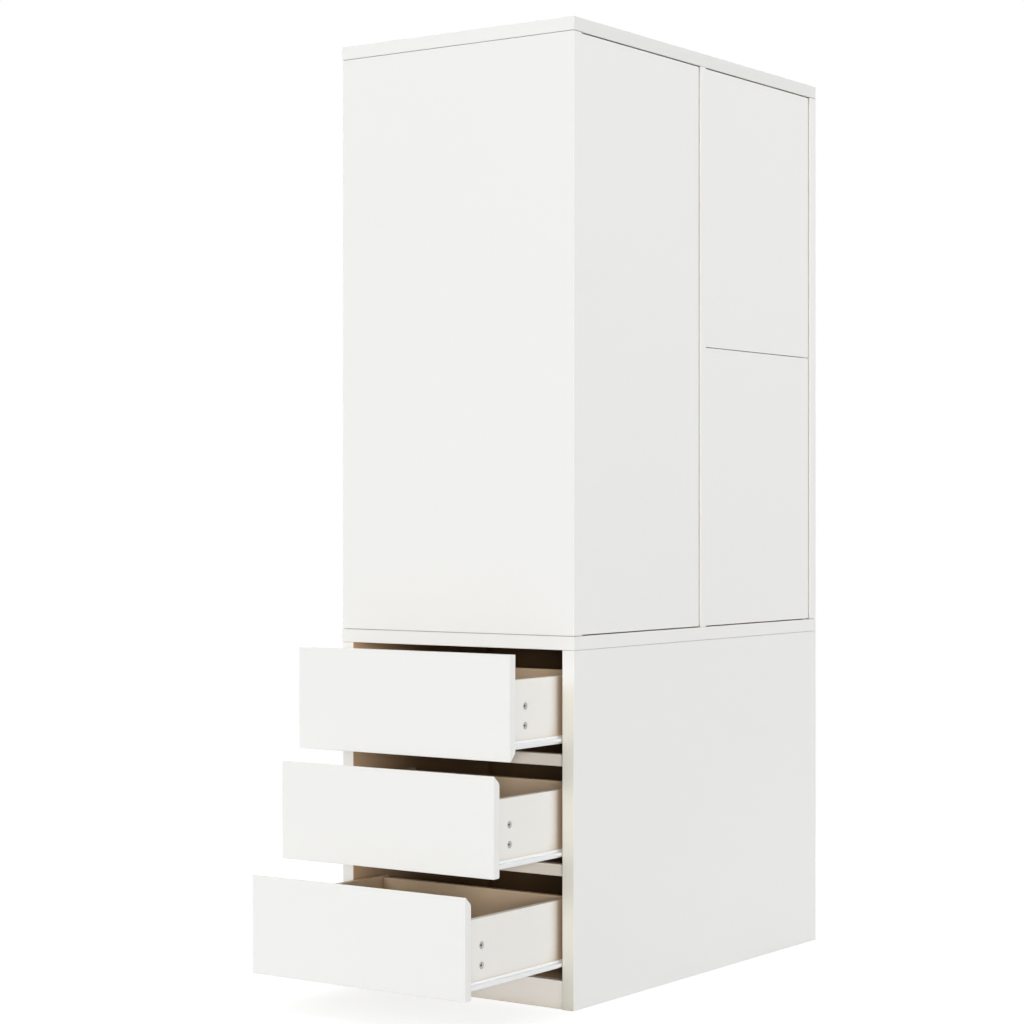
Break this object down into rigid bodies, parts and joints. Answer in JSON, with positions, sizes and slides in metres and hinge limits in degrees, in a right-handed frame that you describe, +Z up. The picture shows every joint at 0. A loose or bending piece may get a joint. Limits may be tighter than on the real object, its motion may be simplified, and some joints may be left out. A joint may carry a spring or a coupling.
{
  "type": "wardrobe",
  "caption": "Tall white free-standing wardrobe: flush inset doors without handles over a chest whose drawers slide out of one end and are pulled by slanted finger grips.",
  "frame": {"origin": "on the floor, under the middle of the carcass: the middle of the underside of the lower partition, without the pulled-out drawers", "axes": "+Z up, -Y the way the doors face, -X the way the drawers slide out"},
  "size_m": [1.356, 0.596, 2],
  "materials": {
    "white_board": "satin white coated board",
    "inner_board": "matt warm white coated board",
    "thin_board": "matt thin fibreboard",
    "white_steel": "smooth cool white powder coat",
    "zinc_steel": "zinc plated",
    "chromed_tube": "polished",
    "latch_case_plastic": "moulded white",
    "plunger_plastic": "moulded grey"
  },
  "bodies": {
    "cabinet": {"cabinet_runner_far_bottom": "white_steel", "cabinet_runner_far_middle": "white_steel", "cabinet_runner_far_top": "white_steel", "cabinet_runner_near_bottom": "white_steel", "cabinet_runner_near_middle": "white_steel", "cabinet_runner_near_top": "white_steel", "drawer_bay_floor": "inner_board", "drawer_rail_lower": "white_board", "drawer_rail_upper": "white_board", "fixed_shelf": "inner_board", "hanging_rail": "chromed_tube", "left_latch_case": "latch_case_plastic", "lower_back_panel": "white_board", "lower_end_panel": "white_board", "lower_front_panel": "white_board", "lower_partition": "inner_board", "lower_right_latch_case": "latch_case_plastic", "middle_panel": "white_board", "pivot_pin_left_bottom": "zinc_steel", "pivot_pin_left_top": "zinc_steel", "pivot_pin_right_bottom": "zinc_steel", "pivot_pin_right_top": "zinc_steel", "pivot_plate_right_middle": "zinc_steel", "plinth": "white_board", "rail_socket_left": "chromed_tube", "rail_socket_right": "chromed_tube", "top_panel": "white_board", "upper_back_panel": "thin_board", "upper_divider": "white_board", "upper_right_latch_case": "latch_case_plastic", "upper_side_left": "white_board", "upper_side_right": "white_board"},
    "left_door": {"left_door": "white_board"},
    "left_plunger": {"left_latch_plunger": "plunger_plastic"},
    "upper_right_door": {"upper_right_door": "white_board"},
    "upper_right_plunger": {"upper_right_latch_plunger": "plunger_plastic"},
    "lower_right_door": {"lower_right_door": "white_board"},
    "lower_right_plunger": {"lower_right_latch_plunger": "plunger_plastic"},
    "top_drawer": {"drawer_back_top": "inner_board", "drawer_bottom_top": "thin_board", "drawer_front_top": "white_board", "drawer_runner_far_top": "white_steel", "drawer_runner_near_top": "white_steel", "drawer_side_far_top": "inner_board", "drawer_side_near_top": "inner_board"},
    "middle_drawer": {"drawer_back_middle": "inner_board", "drawer_bottom_middle": "thin_board", "drawer_front_middle": "white_board", "drawer_runner_far_middle": "white_steel", "drawer_runner_near_middle": "white_steel", "drawer_side_far_middle": "inner_board", "drawer_side_near_middle": "inner_board"},
    "bottom_drawer": {"drawer_back_bottom": "inner_board", "drawer_bottom_bottom": "thin_board", "drawer_front_bottom": "white_board", "drawer_runner_far_bottom": "white_steel", "drawer_runner_near_bottom": "white_steel", "drawer_side_far_bottom": "inner_board", "drawer_side_near_bottom": "inner_board"}
  },
  "joints": [
    {"name": "left_door_hinge", "type": "hinge", "parent": "cabinet", "child": "left_door", "pos_m": [-0.473, -0.288, 0.7545], "axis": [0, 0, -1], "range_deg": [0, 110]},
    {"name": "upper_right_door_hinge", "type": "hinge", "parent": "cabinet", "child": "upper_right_door", "pos_m": [0.473, -0.288, 1.3631], "axis": [0, 0, 1], "range_deg": [0, 110]},
    {"name": "lower_right_door_hinge", "type": "hinge", "parent": "cabinet", "child": "lower_right_door", "pos_m": [0.473, -0.288, 0.7545], "axis": [0, 0, 1], "range_deg": [0, 110]},
    {"name": "left_plunger_slide", "type": "slide", "parent": "cabinet", "child": "left_plunger", "axis": [0, -1, 0], "range_m": [0, 0.008]},
    {"name": "upper_right_plunger_slide", "type": "slide", "parent": "cabinet", "child": "upper_right_plunger", "axis": [0, -1, 0], "range_m": [0, 0.008]},
    {"name": "lower_right_plunger_slide", "type": "slide", "parent": "cabinet", "child": "lower_right_plunger", "axis": [0, -1, 0], "range_m": [0, 0.008]},
    {"name": "top_drawer_slide", "type": "slide", "parent": "cabinet", "child": "top_drawer", "axis": [-1, 0, 0], "range_m": [-0.186, 0.159]},
    {"name": "middle_drawer_slide", "type": "slide", "parent": "cabinet", "child": "middle_drawer", "axis": [-1, 0, 0], "range_m": [-0.24, 0.105]},
    {"name": "bottom_drawer_slide", "type": "slide", "parent": "cabinet", "child": "bottom_drawer", "axis": [-1, 0, 0], "range_m": [-0.334, 0.011]}
  ],
  "couplings": [
    {"joint": "left_plunger_slide", "follows": "left_door_hinge", "m_per_rad": 0.0041},
    {"joint": "upper_right_plunger_slide", "follows": "upper_right_door_hinge", "m_per_rad": 0.0041},
    {"joint": "lower_right_plunger_slide", "follows": "lower_right_door_hinge", "m_per_rad": 0.0041}
  ]
}
